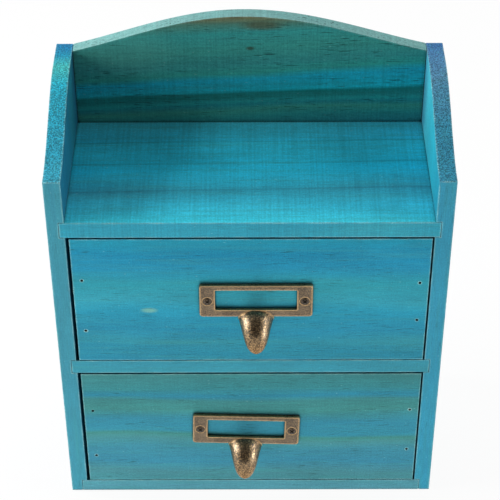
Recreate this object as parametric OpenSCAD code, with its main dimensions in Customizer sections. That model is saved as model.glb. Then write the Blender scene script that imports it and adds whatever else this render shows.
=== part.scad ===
// Two-drawer desktop cabinet with an open shelf on top, made of nailed boards.
// The origin is the middle of the footprint, +Z is up and the drawers open towards -Y.

/* [Case] */
// Width over both sides
case_width = 250; // [220:5:320]
// Depth of the sides, front to back
case_depth = 119; // [110:1:160]
// Thickness of each side
side_t = 11; // [8:0.5:14]
// Height of a side at its front corner
knee_height = 268; // [262:1:290]
// Height of a side at the back
side_back_height = 292; // [286:1:320]
// Depth over which the top of a side climbs from the front corner
sweep_depth = 96; // [70:1:100]
// Height of the open shelf's surface
shelf_height = 237; // [225:1:250]
// Thickness of the open shelf
shelf_t = 11.5; // [8:0.5:14]
// Height of the divider's surface between the two drawers
divider_height = 123; // [110:1:130]
// Thickness of the divider
divider_t = 11; // [8:0.5:14]
// Thickness of the base board
base_t = 10; // [8:0.5:14]
// Depth of the housings in the sides that hold the boards' ends
housing_depth = 3.5; // [2:0.5:5]

/* [Back] */
// Thickness of the back boards
back_t = 9.5; // [7:0.5:12]
// Height of the back at the crown of its bell outline
crown_height = 317.5; // [310:0.5:340]
// Distance of the crown to the left of the middle, as the bell outline is sawn by hand
crown_shift = 4; // [0:0.5:8]
// Height of the back where its outline meets the sides
back_end_height = 292; // [286:1:305]
// Part of a cosine wave that the bell outline runs through, in degrees from crown to end
bell_angle = 125; // [95:5:180]

/* [Drawers] */
// Thickness of a drawer front
front_t = 10; // [8:0.5:12]
// Gap between a drawer front and the case on each side
front_side_gap = 1.5; // [0.5:0.25:3]
// Gap above a drawer front
front_top_gap = 1.1; // [0.5:0.1:3]
// Running gap under a drawer
drawer_under_gap = 0.3; // [0.2:0.1:0.5]
// Distance by which both drawers sit to the right of the middle
drawer_shift = 0.5; // [0:0.1:0.5]
// Gap between a drawer and the back boards
drawer_rear_gap = 3; // [1:0.5:8]
// Thickness of a drawer's sides and back
drawer_wall_t = 9; // [7:0.5:11]
// Distance by which a drawer's sides stand in from the ends of its front
drawer_side_inset = 1.5; // [0.5:0.25:3]
// Distance by which a drawer's sides and back stay below the top of its front
drawer_wall_drop = 9; // [4:1:25]
// Thickness of a drawer's bottom panel
panel_t = 3; // [2.5:0.5:4]
// Height of the panel's groove above a drawer's lower edge
groove_height = 4; // [3:0.5:8]
// Depth of the panel's groove
groove_depth = 3.5; // [2.5:0.5:4]
// Play of the panel in its groove
groove_play = 0.2; // [0.1:0.05:0.3]

/* [Pulls] */
// Width of a pull's label frame
frame_width = 72; // [70:0.5:80]
// Height of a pull's label frame
frame_height = 25.75; // [25:0.25:30]
// Thickness of the label frame
frame_t = 2.4; // [2.2:0.1:3]
// Width of the label window
window_width = 52; // [46:0.5:53]
// Height of the label window
window_height = 16; // [14:0.5:17]
// Width of the rail above the label window
top_rail = 4; // [3:0.1:5]
// Corner radius of the label frame
frame_corner_r = 2; // [1:0.25:4]
// Bevel round the front edges of the label frame
frame_bevel = 0.6; // [0.3:0.1:0.8]
// Depth of the recess behind the window that takes a label card
card_recess = 0.9; // [0.5:0.1:1]
// Width of the lip that holds a label card
card_lip = 1.6; // [1:0.1:2]
// Distance between a pull's two screws
screw_spacing = 62; // [60:0.5:63]
// Distance from the drawer front to the tip of the finger hood
hood_reach = 18.5; // [14:0.5:24]
// Distance from the bottom of the label frame down to the tip of the finger hood
hood_drop = 17.5; // [12:0.5:24]
// Width of the finger hood where it leaves the frame
hood_width = 22.5; // [16:0.5:28]
// Height of the finger hood's arch where it leaves the frame
hood_arch = 7; // [5:0.5:9]
// How squarely the finger hood keeps its width towards its tip
hood_fullness = 3.75; // [2:0.25:5]
// Wall of the finger hood
hood_wall = 1.6; // [1.2:0.1:2.2]
// Place of the upper pull to the right of the cabinet's middle
upper_pull_x = 3.75; // [-10:0.25:10]
// Height of the middle of the upper pull's frame above the lower edge of its drawer front
upper_pull_height = 52.5; // [46:0.25:60]
// Clockwise tilt of the upper pull in degrees
upper_pull_tilt = 0; // [-2:0.1:2]
// Place of the lower pull to the right of the cabinet's middle
lower_pull_x = -3; // [-10:0.25:10]
// Height of the middle of the lower pull's frame above the lower edge of its drawer front
lower_pull_height = 50.75; // [46:0.25:60]
// Clockwise tilt of the lower pull in degrees
lower_pull_tilt = 1.8; // [-2:0.1:2]

/* [Fasteners] */
// Diameter of the nails
nail_d = 1.4; // [1:0.1:1.6]
// Diameter of a nail's head
nail_head_d = 1.8; // [1.7:0.1:3]
// Length of the nails
nail_length = 25; // [20:1:30]
// Height of a nail's head
nail_head_t = 0.8; // [0.5:0.1:1]
// Depth to which the nails' heads are punched below the face of the wood
nail_set = 0.6; // [0.2:0.1:0.8]
// Clearance between a nail or screw and its hole
fastener_clear = 0.05; // [0.02:0.01:0.1]
// Diameter of a pull screw's thread
screw_d = 2.8; // [2.4:0.1:3.2]
// Diameter of a pull screw's countersunk head
screw_head_d = 5.6; // [5:0.1:6]
// Length of a pull screw
screw_length = 11; // [9:0.5:11]
// Depth of the rim of a pull screw's head below the face of the label frame
screw_sink = 0.1; // [0.1:0.05:0.4]
// Rise of the dome on a pull screw's head
screw_dome = 0.8; // [0.4:0.1:1.2]
// Heights of the upper drawer front's nails: left high, left low, right high, right low
upper_nail_heights = [68, 26, 65.5, 34.5]; // [14:0.5:80]
// Heights of the lower drawer front's nails: left high, left low, right high, right low
lower_nail_heights = [67, 24.5, 67.5, 30]; // [14:0.5:80]
// Distance of the outer back nails from the cabinet's middle
back_nail_spread = 80; // [60:5:90]

/* [Hidden] */

round_fn = 32;
sweep_steps = 16;
bell_steps = 32;
hood_stations = 14;
hood_sectors = 16;
dome_steps = 6;
overcut = 1;

// Places of the nails: along the depth of a housed board, and up the height of a back board
depth_shares = [0.2, 0.75];
height_shares = [0.25, 0.75];

wood = [0.21, 0.57, 0.66];
side_wood = [0.24, 0.58, 0.67];
back_wood = [0.12, 0.42, 0.42];
drawer_wood = [0.24, 0.59, 0.66];
brass = [0.46, 0.38, 0.29];
steel = [0.55, 0.53, 0.5];

// The case
front_y = -case_depth / 2;
rear_y = case_depth / 2;
inner_width = case_width - 2 * side_t;
board_depth = case_depth - back_t;
housed_length = inner_width + 2 * housing_depth;
shelf_underside = shelf_height - shelf_t;
divider_underside = divider_height - divider_t;
// Each housed board as its underside and thickness
housed_boards = [[0, base_t], [divider_underside, divider_t], [shelf_underside, shelf_t]];
// Each back board as its lower and upper edge, the upper one up to where it meets the sides
back_boards = [
    [0, divider_underside],
    [divider_underside, shelf_underside],
    [shelf_underside, back_end_height]
];

// The drawers: each bay is its floor and its ceiling
lower_bay = [base_t, divider_underside];
upper_bay = [divider_height, shelf_underside];
front_width = inner_width - 2 * front_side_gap;
box_width = front_width - 2 * drawer_side_inset;
box_inner_width = box_width - 2 * drawer_wall_t;
box_front_y = front_y + front_t;
box_rear_y = rear_y - back_t - drawer_rear_gap;
wall_nail_x = box_width / 2 - drawer_wall_t / 2;
function front_height(bay) = bay[1] - bay[0] - drawer_under_gap - front_top_gap;
function drawer_z(bay) = bay[0] + drawer_under_gap;

// The pulls
lower_rail = frame_height - window_height - top_rail;
window_drop = (top_rail - lower_rail) / 2;
frame_bottom = -frame_height / 2;
hood_top = frame_bottom + 0.85 * lower_rail;
hood_root = frame_t / 2;
// Share by which the hood's arch deepens half way to its tip
hood_bulge = 0.4;
frame_hole_d = screw_d + 0.2;
countersink_depth = (screw_head_d - screw_d) / 2;
slot_length = 0.64 * screw_head_d;
slot_width = 0.14 * screw_head_d;
slot_depth = screw_dome + 0.4 * countersink_depth;

// Outline of a side: y to the right, z up, with a sweep that leaves the front corner and levels out behind
module side_outline() {
    climb = side_back_height - knee_height;
    polygon(concat(
        [[front_y, 0]],
        [for (i = [0:sweep_steps])
            let (t = i / sweep_steps)
            [front_y + sweep_depth * t, knee_height + climb * (1 - cos(180 * t)) / 2]],
        [[rear_y, side_back_height], [rear_y, 0]]
    ));
}

// A nail driven towards -z with its head set below the wood's face at z = 0, or its hole when grown
module nail(grow = 0) {
    point = 2 * nail_d;
    point_r = nail_d / 8 + grow;
    shank_r = nail_d / 2 + grow;
    head_r = nail_head_d / 2 + grow;
    end_z = -nail_set - nail_length - grow;
    head_z = -nail_set - nail_head_t - grow;
    top_z = grow > 0 ? overcut : -nail_set;
    rotate_extrude($fn = round_fn)
        polygon([
            [0, end_z], [point_r, end_z], [shank_r, end_z + point],
            [shank_r, head_z], [head_r, head_z], [head_r, top_z], [0, top_z]
        ]);
}

// Nails through both sides into the ends of the shelf, divider, base and back boards
module side_nail_set(grow = 0) {
    for (hand = [-1, 1]) {
        for (board = housed_boards, share = depth_shares)
            translate([hand * case_width / 2, front_y + share * board_depth, board[0] + board[1] / 2])
                rotate([0, hand * 90, 0]) nail(grow);
        for (board = back_boards, share = height_shares)
            translate([
                hand * case_width / 2,
                rear_y - back_t / 2,
                board[0] + share * (board[1] - board[0])
            ])
                rotate([0, hand * 90, 0]) nail(grow);
    }
}

// Nails through the back boards into the rear edges of the base, divider and shelf
module back_nail_set(grow = 0) {
    for (board = housed_boards, x = [-back_nail_spread, 0, back_nail_spread])
        translate([x, rear_y, board[0] + board[1] / 2])
            rotate([-90, 0, 0]) nail(grow);
}

// One side of the case, hand -1 on the left and 1 on the right, housed out for the boards
module side(hand) {
    difference() {
        translate([hand * (case_width - side_t) / 2 - side_t / 2, 0, 0])
            rotate([90, 0, 90]) linear_extrude(side_t) side_outline();
        for (board = housed_boards) housed_board(board);
        side_nail_set(fastener_clear);
    }
}

// A board with its ends in the housings of the sides, before its nail holes
module housed_board(board) {
    translate([-housed_length / 2, front_y, board[0]])
        cube([housed_length, board_depth, board[1]]);
}

module drilled_board(board) {
    difference() {
        housed_board(board);
        side_nail_set(fastener_clear);
        back_nail_set(fastener_clear);
    }
}

// Top edge of the back: a bell, full at the crown and flaring out a little at the sides
function bell_z(x) =
    let (
        rise = crown_height - back_end_height,
        from_crown = x + crown_shift,
        half_span = inner_width / 2 + sign(from_crown) * crown_shift
    )
    crown_height - rise * (1 - cos(bell_angle * from_crown / half_span)) / (1 - cos(bell_angle));

module back_board(board, belled = false) {
    bell = [for (i = [0:bell_steps])
        let (x = inner_width * (0.5 - i / bell_steps))
        [x, bell_z(x)]];
    plain = [[inner_width / 2, board[1]], [-inner_width / 2, board[1]]];
    difference() {
        translate([0, rear_y, 0]) rotate([90, 0, 0]) linear_extrude(back_t)
            polygon(concat(
                [[-inner_width / 2, board[0]], [inner_width / 2, board[0]]],
                belled ? bell : plain
            ));
        side_nail_set(fastener_clear);
        back_nail_set(fastener_clear);
    }
}

// Nails of one drawer: through its front into the walls, and through the walls into its back
module drawer_nail_set(bay, heights, grow = 0) {
    for (side = [0, 1], row = [0, 1]) {
        hand = 2 * side - 1;
        z = drawer_z(bay) + heights[2 * side + row];
        translate([drawer_shift + hand * wall_nail_x, front_y, z])
            rotate([90, 0, 0]) nail(grow);
        translate([drawer_shift + hand * box_width / 2, box_rear_y - drawer_wall_t / 2, z])
            rotate([0, hand * 90, 0]) nail(grow);
    }
}

// Moves a shape from the middle of a pull, with z outwards and y up, to its place on a drawer front
module at_pull(bay, x, height, tilt) {
    translate([x, front_y, drawer_z(bay) + height])
        rotate([90, 0, 0]) rotate([0, 0, -tilt]) children();
}

module at_screws() {
    for (hand = [-1, 1])
        translate([hand * screw_spacing / 2, 0, 0]) children();
}

// The space of the bottom panel's groove, as wide and deep as the grooves' far walls
module groove_space(bay) {
    translate([
        drawer_shift - box_inner_width / 2 - groove_depth,
        box_front_y - groove_depth,
        drawer_z(bay) + groove_height
    ])
        cube([
            box_inner_width + 2 * groove_depth,
            box_rear_y - drawer_wall_t - box_front_y + 2 * groove_depth,
            panel_t + groove_play
        ]);
}

module drawer_front(bay, heights, pull_x, pull_z, pull_tilt) {
    difference() {
        translate([drawer_shift - front_width / 2, front_y, drawer_z(bay)])
            cube([front_width, front_t, front_height(bay)]);
        groove_space(bay);
        drawer_nail_set(bay, heights, fastener_clear);
        at_pull(bay, pull_x, pull_z, pull_tilt) at_screws() pull_screw(fastener_clear);
    }
}

module drawer_wall(bay, hand, heights) {
    difference() {
        translate([
            drawer_shift + hand * (box_width - drawer_wall_t) / 2 - drawer_wall_t / 2,
            box_front_y,
            drawer_z(bay)
        ])
            cube([drawer_wall_t, box_rear_y - box_front_y, front_height(bay) - drawer_wall_drop]);
        groove_space(bay);
        drawer_nail_set(bay, heights, fastener_clear);
    }
}

module drawer_back(bay, heights) {
    difference() {
        translate([drawer_shift - box_inner_width / 2, box_rear_y - drawer_wall_t, drawer_z(bay)])
            cube([box_inner_width, drawer_wall_t, front_height(bay) - drawer_wall_drop]);
        groove_space(bay);
        drawer_nail_set(bay, heights, fastener_clear);
    }
}

module drawer_bottom(bay) {
    translate([
        drawer_shift - box_inner_width / 2 - groove_depth + groove_play,
        box_front_y - groove_depth + groove_play,
        drawer_z(bay) + groove_height
    ])
        cube([
            box_inner_width + 2 * (groove_depth - groove_play),
            box_rear_y - drawer_wall_t - box_front_y + 2 * (groove_depth - groove_play),
            panel_t
        ]);
}

module rounded_plate(width, height, radius, thickness) {
    hull()
        for (x = [-1, 1], y = [-1, 1])
            translate([x * (width / 2 - radius), y * (height / 2 - radius), 0])
                cylinder(r = radius, h = thickness, $fn = round_fn);
}

// Label frame with bevelled edges, a window, a recess behind it that is open at the top, and countersinks
module label_frame() {
    difference() {
        hull() {
            rounded_plate(frame_width, frame_height, frame_corner_r, frame_t - frame_bevel);
            rounded_plate(
                frame_width - 2 * frame_bevel, frame_height - 2 * frame_bevel,
                frame_corner_r - frame_bevel / 2, frame_t
            );
        }
        hull() {
            translate([-window_width / 2, -window_height / 2 - window_drop, -overcut])
                cube([window_width, window_height, frame_t + overcut - frame_bevel / 2]);
            translate([
                -window_width / 2 - frame_bevel / 2,
                -window_height / 2 - window_drop - frame_bevel / 2,
                frame_t
            ])
                cube([window_width + frame_bevel, window_height + frame_bevel, overcut]);
        }
        translate([-window_width / 2 - card_lip, -window_height / 2 - window_drop - card_lip, -overcut])
            cube([window_width + 2 * card_lip, frame_height, card_recess + overcut]);
        at_screws() {
            translate([0, 0, -overcut])
                cylinder(d = frame_hole_d, h = frame_t + 2 * overcut, $fn = round_fn);
            translate([0, 0, frame_t - screw_sink - countersink_depth])
                cylinder(
                    d1 = frame_hole_d, d2 = frame_hole_d + 2 * (countersink_depth + screw_sink),
                    h = countersink_depth + screw_sink, $fn = round_fn
                );
        }
    }
}

// A point of the finger hood's surface. along runs from 0 at the frame to 1 at the tip, round from -90
// to 90 degrees over the arch, and inset is 0 on the outside and the wall on the inside.
function hood_point(along, round, inset) =
    let (
        reach = hood_reach - hood_root - inset,
        drop = hood_top - frame_bottom + hood_drop - inset,
        ridge_angle = 90 * along,
        shrink = pow(1 - along, 1 / hood_fullness),
        half_width = (hood_width / 2 - inset) * shrink,
        arch = (hood_arch - inset) * shrink * (1 + hood_bulge * sin(180 * along)),
        across = [-drop * sin(ridge_angle), reach * cos(ridge_angle)],
        inward = across / norm(across),
        depth = arch * (1 - cos(round))
    )
    [
        half_width * sin(round),
        hood_top - inset - drop * (1 - cos(ridge_angle)) - inward[1] * depth,
        hood_root + reach * sin(ridge_angle) + inward[0] * depth
    ];

// Finger hood: a shell like half a thimble that leaves the lower rail and curls down to a rounded tip
module hood() {
    row = hood_sectors + 1;
    shell = hood_stations * row;
    // Stations lie closer together towards the tip, where the outline turns in
    alongs = [for (i = [0:hood_stations - 1]) 1 - pow(cos(90 * i / hood_stations), 3)];
    rounds = [for (j = [0:hood_sectors]) 180 * j / hood_sectors - 90];
    outside = [for (along = alongs, round = rounds) hood_point(along, round, 0)];
    inside = [for (along = alongs, round = rounds) hood_point(along, round, hood_wall)];
    tips = [hood_point(1, 0, 0), hood_point(1, 0, hood_wall)];
    outer_tip = 2 * shell;
    inner_tip = outer_tip + 1;
    last = (hood_stations - 1) * row;
    skin = [for (i = [0:hood_stations - 2], j = [0:hood_sectors - 1])
        let (a = i * row + j, b = a + row)
        each [[a, a + 1, b + 1], [a, b + 1, b]]];
    lining = [for (face = skin) [face[2] + shell, face[1] + shell, face[0] + shell]];
    point = [for (j = [0:hood_sectors - 1])
        each [[last + j, last + j + 1, outer_tip], [last + shell + j + 1, last + shell + j, inner_tip]]];
    root = [for (j = [0:hood_sectors - 1])
        each [[j + 1, j, shell + j], [j + 1, shell + j, shell + j + 1]]];
    left_rim = [for (i = [0:hood_stations - 2])
        let (a = i * row, b = a + row)
        each [[a, b, b + shell], [a, b + shell, a + shell]]];
    right_rim = [for (i = [0:hood_stations - 2])
        let (a = i * row + hood_sectors, b = a + row)
        each [[b, a, a + shell], [b, a + shell, b + shell]]];
    rim_ends = [
        [last, outer_tip, inner_tip], [last, inner_tip, last + shell],
        [outer_tip, last + hood_sectors, last + hood_sectors + shell],
        [outer_tip, last + hood_sectors + shell, inner_tip]
    ];
    polyhedron(
        points = concat(outside, inside, tips),
        faces = concat(skin, lining, point, root, left_rim, right_rim, rim_ends)
    );
}

module pull() {
    label_frame();
    hood();
}

// Raised countersunk screw with a crossed slot, its rim sunk in the label frame, or its hole when grown
module pull_screw(grow = 0) {
    face = frame_t - screw_sink;
    point = screw_d;
    point_r = screw_d / 8 + grow;
    shank_r = screw_d / 2 + grow;
    head_r = screw_head_d / 2 + grow;
    end_z = face - screw_length - grow;
    dome_r = (head_r * head_r + screw_dome * screw_dome) / (2 * screw_dome);
    dome_angle = asin(head_r / dome_r);
    dome = [for (i = [0:dome_steps])
        let (a = dome_angle * (1 - i / dome_steps))
        [dome_r * sin(a), face + screw_dome - dome_r * (1 - cos(a))]];
    difference() {
        rotate_extrude($fn = round_fn)
            polygon(concat(
                [[0, end_z], [point_r, end_z], [shank_r, end_z + point]],
                [[shank_r, face - countersink_depth]],
                dome
            ));
        for (turn = [45, 135])
            rotate([0, 0, turn])
                translate([-slot_length / 2, -slot_width / 2, face + screw_dome - slot_depth])
                    cube([slot_length, slot_width, slot_depth + overcut]);
    }
}

module left_side() { color(side_wood) side(-1); }
module right_side() { color(side_wood) side(1); }
module shelf() { color(wood) drilled_board(housed_boards[2]); }
module divider() { color(wood) drilled_board(housed_boards[1]); }
module base_board() { color(wood) drilled_board(housed_boards[0]); }
module back_board_top() { color(back_wood) back_board(back_boards[2], belled = true); }
module back_board_middle() { color(back_wood) back_board(back_boards[1]); }
module back_board_bottom() { color(back_wood) back_board(back_boards[0]); }
module side_nails() { color(steel) side_nail_set(); }
module back_nails() { color(steel) back_nail_set(); }

module upper_front() {
    color(drawer_wood)
        drawer_front(upper_bay, upper_nail_heights, upper_pull_x, upper_pull_height, upper_pull_tilt);
}
module upper_left_wall() { color(drawer_wood) drawer_wall(upper_bay, -1, upper_nail_heights); }
module upper_right_wall() { color(drawer_wood) drawer_wall(upper_bay, 1, upper_nail_heights); }
module upper_back_wall() { color(drawer_wood) drawer_back(upper_bay, upper_nail_heights); }
module upper_bottom_panel() { color(wood) drawer_bottom(upper_bay); }
module upper_pull() {
    color(brass) at_pull(upper_bay, upper_pull_x, upper_pull_height, upper_pull_tilt) pull();
}
module upper_pull_screws() {
    color(brass)
        at_pull(upper_bay, upper_pull_x, upper_pull_height, upper_pull_tilt) at_screws() pull_screw();
}
module upper_nails() { color(steel) drawer_nail_set(upper_bay, upper_nail_heights); }

module lower_front() {
    color(drawer_wood)
        drawer_front(lower_bay, lower_nail_heights, lower_pull_x, lower_pull_height, lower_pull_tilt);
}
module lower_left_wall() { color(drawer_wood) drawer_wall(lower_bay, -1, lower_nail_heights); }
module lower_right_wall() { color(drawer_wood) drawer_wall(lower_bay, 1, lower_nail_heights); }
module lower_back_wall() { color(drawer_wood) drawer_back(lower_bay, lower_nail_heights); }
module lower_bottom_panel() { color(wood) drawer_bottom(lower_bay); }
module lower_pull() {
    color(brass) at_pull(lower_bay, lower_pull_x, lower_pull_height, lower_pull_tilt) pull();
}
module lower_pull_screws() {
    color(brass)
        at_pull(lower_bay, lower_pull_x, lower_pull_height, lower_pull_tilt) at_screws() pull_screw();
}
module lower_nails() { color(steel) drawer_nail_set(lower_bay, lower_nail_heights); }

left_side();
right_side();
shelf();
divider();
base_board();
back_board_top();
back_board_middle();
back_board_bottom();
side_nails();
back_nails();
upper_front();
upper_left_wall();
upper_right_wall();
upper_back_wall();
upper_bottom_panel();
upper_pull();
upper_pull_screws();
upper_nails();
lower_front();
lower_left_wall();
lower_right_wall();
lower_back_wall();
lower_bottom_panel();
lower_pull();
lower_pull_screws();
lower_nails();
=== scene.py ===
import math

import bmesh
import bpy
from bpy.props import FloatProperty, FloatVectorProperty, IntProperty, PointerProperty
from mathutils import Matrix, Vector


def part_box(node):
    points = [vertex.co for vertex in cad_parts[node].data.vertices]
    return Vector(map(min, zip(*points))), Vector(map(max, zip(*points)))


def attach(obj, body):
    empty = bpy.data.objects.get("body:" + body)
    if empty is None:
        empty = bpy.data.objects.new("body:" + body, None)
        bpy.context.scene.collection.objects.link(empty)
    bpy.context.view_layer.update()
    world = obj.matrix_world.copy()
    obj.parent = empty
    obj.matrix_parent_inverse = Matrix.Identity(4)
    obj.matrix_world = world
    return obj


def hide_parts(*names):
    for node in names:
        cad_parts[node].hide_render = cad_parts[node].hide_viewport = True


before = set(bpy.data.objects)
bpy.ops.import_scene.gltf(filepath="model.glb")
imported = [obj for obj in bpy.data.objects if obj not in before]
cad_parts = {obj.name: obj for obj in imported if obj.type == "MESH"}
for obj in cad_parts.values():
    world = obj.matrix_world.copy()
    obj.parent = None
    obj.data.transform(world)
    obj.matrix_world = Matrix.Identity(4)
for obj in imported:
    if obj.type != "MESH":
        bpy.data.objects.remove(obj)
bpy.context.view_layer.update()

bl_info = {
    "name": "Nailed Pine Desktop Cabinet",
    "version": (1, 0, 0),
    "blender": (4, 5, 0),
    "location": "View3D > Sidebar > Cabinet",
    "description": "Dresses the two-drawer cabinet in stained pine and antique brass",
    "category": "Object",
}

MM = 0.001
AXES = "XYZ"


def linear(colour):
    """The linear RGB values of an sRGB hex colour such as "#3C96AF"."""
    values = [int(colour[i:i + 2], 16) / 255 for i in (1, 3, 5)]
    return [v / 12.92 if v <= 0.04045 else ((v + 0.055) / 1.055) ** 2.4 for v in values]


def rgba(colour):
    return (*(linear(colour) if isinstance(colour, str) else colour), 1.0)


def add_node(tree, kind, settings=None, inputs=None, stops=None):
    """Adds a shader node. Inputs that are sockets are linked, others are set, and stops fill a ramp."""
    node = tree.nodes.new(kind)
    for name, value in (settings or {}).items():
        setattr(node, name, value)
    for name, value in (inputs or {}).items():
        if isinstance(value, bpy.types.NodeSocket):
            tree.links.new(value, node.inputs[name])
        else:
            node.inputs[name].default_value = value
    if stops:
        elements = node.color_ramp.elements
        while len(elements) < len(stops):
            elements.new(1.0)
        for element, (position, colour) in zip(elements, stops):
            element.position = position
            element.color = rgba(colour)
    return node


def new_material(name, constants):
    """A material with its output and a principled shader, on whose own sockets the constants are set."""
    material = bpy.data.materials.new(name)
    material.use_nodes = True
    tree = material.node_tree
    tree.nodes.clear()
    shader = add_node(tree, "ShaderNodeBsdfPrincipled", inputs=constants)
    add_node(tree, "ShaderNodeOutputMaterial", inputs={"Surface": shader.outputs[0]})
    return material, tree, shader


def link_shader(tree, shader, colour, roughness, bump):
    """Links what changes over the surface."""
    for socket, value in (
        ("Base Color", colour), ("Roughness", roughness.outputs[0]), ("Normal", bump.outputs[0]),
    ):
        tree.links.new(value, shader.inputs[socket])


# Board finishes

# How each board was cut and stained. The grain runs along one axis and the zones of stain lie across
# another: their stops run over the width of the board's face. wander is how far the zones stray and rise
# how far they climb along the board, in millimetres. edge colours the sawn long edges, and end, in stops
# over the same width, the end grain. rings, pores and chatter say how strongly the rings, the resin pores
# and the planer's marks show, and seed shifts the figure from board to board. marks are oval patches and
# knots, and some are pale patches of painted light, each with its place along and across the board and its
# half length and half width in millimetres, its strength and its colour. reverse is the more even colour of
# the face that looks backwards.
FINISHES = {
    # The two sides take one stain, but the left side's zones are much darker than the right side's: painted
    # shade on the left inner face and painted light on the right one.
    "left_side": dict(
        grain="Z", across="Y", chatter=0.02, seed=3, wander=6, rise=0, rings=0.06, pores=0.3,
        edge="#39889B",
        end=(
            (0.0, "#399EB7"), (0.3, "#2B9FBB"), (0.62, "#29ABC4"),
            (0.78, "#43B5B5"), (0.9, "#2298B8"), (1.0, "#1A7DB0"),
        ),
        zones=((0.0, "#096A8C"), (0.4, "#096C89"), (0.75, "#096D81"), (1.0, "#095174")),
    ),
    "right_side": dict(
        grain="Z", across="Y", chatter=0.02, seed=11, wander=6, rise=0, rings=0.06, pores=0.3,
        edge="#318BA6",
        end=(
            (0.0, "#3184A1"), (0.4, "#358AA8"), (0.7, "#5387A7"),
            (0.88, "#457AAB"), (1.0, "#30619E"),
        ),
        zones=((0.0, "#117F99"), (0.45, "#23A4BB"), (0.75, "#44B8CB"), (1.0, "#477BA6")),
    ),
    "shelf": dict(
        grain="X", across="Y", chatter=0.08, seed=5, wander=1.6, rise=4, rings=0.0, pores=0.35,
        edge="#2C92A9",
        end=((0.0, "#36A3BE"), (1.0, "#469FBB")),
        # The mark is a pale patch of painted light over the middle of the shelf
        marks_and_painted_light=(((-8.0, 6.0, 96.0, 44.0), 0.35, "#34D2F2"),),
        zones=(
            (0.0, "#3BCBE1"), (0.15, "#35BDD9"), (0.3, "#2E96AE"), (0.312, "#2B8296"), (0.324, "#2C98B1"),
            (0.5, "#1BAFCF"), (0.562, "#1AAFCF"), (0.574, "#1993AB"), (0.586, "#1DB1CF"), (0.78, "#33C6DF"),
            (0.79, "#2AA2B7"), (0.802, "#31BFDC"), (1.0, "#43C0D4"),
        ),
    ),
    "divider": dict(
        grain="X", across="Y", chatter=0.03, seed=8, wander=4, rise=0, rings=0.06, pores=0.5,
        edge="#33899C", end=((0.0, "#2F8CA6"), (1.0, "#2F8CA6")),
        zones=((0.0, "#2C9AB4"), (1.0, "#258CA6")),
    ),
    "base_board": dict(
        grain="X", across="Y", chatter=0.03, seed=9, wander=4, rise=0, rings=0.06, pores=0.4,
        edge="#4D8E9C", end=((0.0, "#3A93A8"), (1.0, "#3A93A8")),
        zones=((0.0, "#3A9CB4"), (1.0, "#2F8CA2")),
    ),
    # Its front face's zones are lightened as painted light against the shade of the niche; the reverse keeps
    # the board's own even colour. Its last mark is a pale patch of painted light on the board's left part.
    "back_board_top": dict(
        grain="X", across="Z", chatter=0.07, seed=21, wander=3.5, rise=10, rings=0.05, pores=0.9,
        edge="#7BAFAD", end=((0.0, "#3E889C"), (1.0, "#308A9D")),
        reverse=("#2C8591",),
        marks_and_painted_light=(
            ((8.0, 311.0, 17.0, 4.5), 0.75, "#5A5A3C"), ((0.5, 293.8, 3.6, 1.8), 0.85, "#3C4A2C"),
            ((12.5, 289.4, 5.0, 0.7), 0.8, "#1A302A"), ((-82.0, 292.0, 42.0, 22.0), 0.3, "#6CC0AE"),
        ),
        zones=(
            (0.0, "#287588"), (0.15, "#3BA09B"), (0.22, "#4AA792"), (0.27, "#319799"), (0.3, "#34ABA6"),
            (0.34, "#288C85"), (0.385, "#1C8780"), (0.41, "#24C6D2"), (0.5, "#24BDD3"), (0.55, "#3EB2A3"),
            (0.62, "#43A8A2"), (0.74, "#44A99C"), (0.87, "#3BA8A2"), (0.94, "#57907E"), (1.0, "#887E4F"),
        ),
    ),
    "back_board_middle": dict(
        grain="X", across="Z", chatter=0.04, seed=23, wander=6, rise=0, rings=0.06, pores=0.5,
        edge="#3A8A92", end=((0.0, "#2C8090"), (1.0, "#2C8090")),
        zones=((0.0, "#2A8AA0"), (0.5, "#33888C"), (1.0, "#267C90")),
    ),
    "upper_front": dict(
        grain="X", across="Z", chatter=0.02, seed=31, wander=5, rise=-2, rings=0.05, pores=0.55,
        edge="#1C8CA6", end=((0.0, "#2C859B"), (1.0, "#25879E")),
        marks_and_painted_light=(((-64.5, 166.5, 6.5, 2.6), 0.6, "#7FB49A"),),
        zones=(
            (0.0, "#237D96"), (0.1, "#258198"), (0.16, "#2C8698"), (0.24, "#23839F"), (0.42, "#248EA8"),
            (0.52, "#3094A7"), (0.66, "#2991A1"), (0.76, "#1F88A8"), (0.9, "#1782A4"), (1.0, "#1B89A2"),
        ),
    ),
    "lower_front": dict(
        grain="X", across="Z", chatter=0.02, seed=43, wander=4, rise=-2, rings=0.05, pores=0.6,
        edge="#2C8C9E", end=((0.0, "#297A90"), (1.0, "#2C89A1")),
        zones=(
            (0.0, "#3F818B"), (0.08, "#428088"), (0.18, "#337E96"), (0.32, "#388294"), (0.4, "#428387"),
            (0.44, "#3B807A"), (0.47, "#308499"), (0.58, "#308298"), (0.68, "#3A807F"), (0.78, "#387C7D"),
            (0.82, "#287D95"), (0.88, "#317D84"), (1.0, "#387879"),
        ),
    ),
    "drawer_box": dict(
        grain="Y", across="Z", chatter=0.03, seed=51, wander=6, rise=0, rings=0.06, pores=0.4,
        edge="#3C93A8", end=((0.0, "#347F90"), (1.0, "#347F90")),
        zones=((0.0, "#358FA6"), (0.5, "#3E98A8"), (1.0, "#348EA4")),
    ),
}
FINISHES["back_board_bottom"] = dict(
    FINISHES["back_board_middle"], seed=29, zones=((0.0, "#30869A"), (0.5, "#2B88A2"), (1.0, "#368688")),
)
FINISHES["drawer_back"] = dict(FINISHES["drawer_box"], grain="X", seed=57)
FINISHES["drawer_bottom"] = dict(
    FINISHES["drawer_back"], across="Y", seed=61, wander=9, rings=0.04, pores=0.2,
    zones=((0.0, "#388CA2"), (0.5, "#4092A2"), (1.0, "#388CA0")),
)

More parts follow.
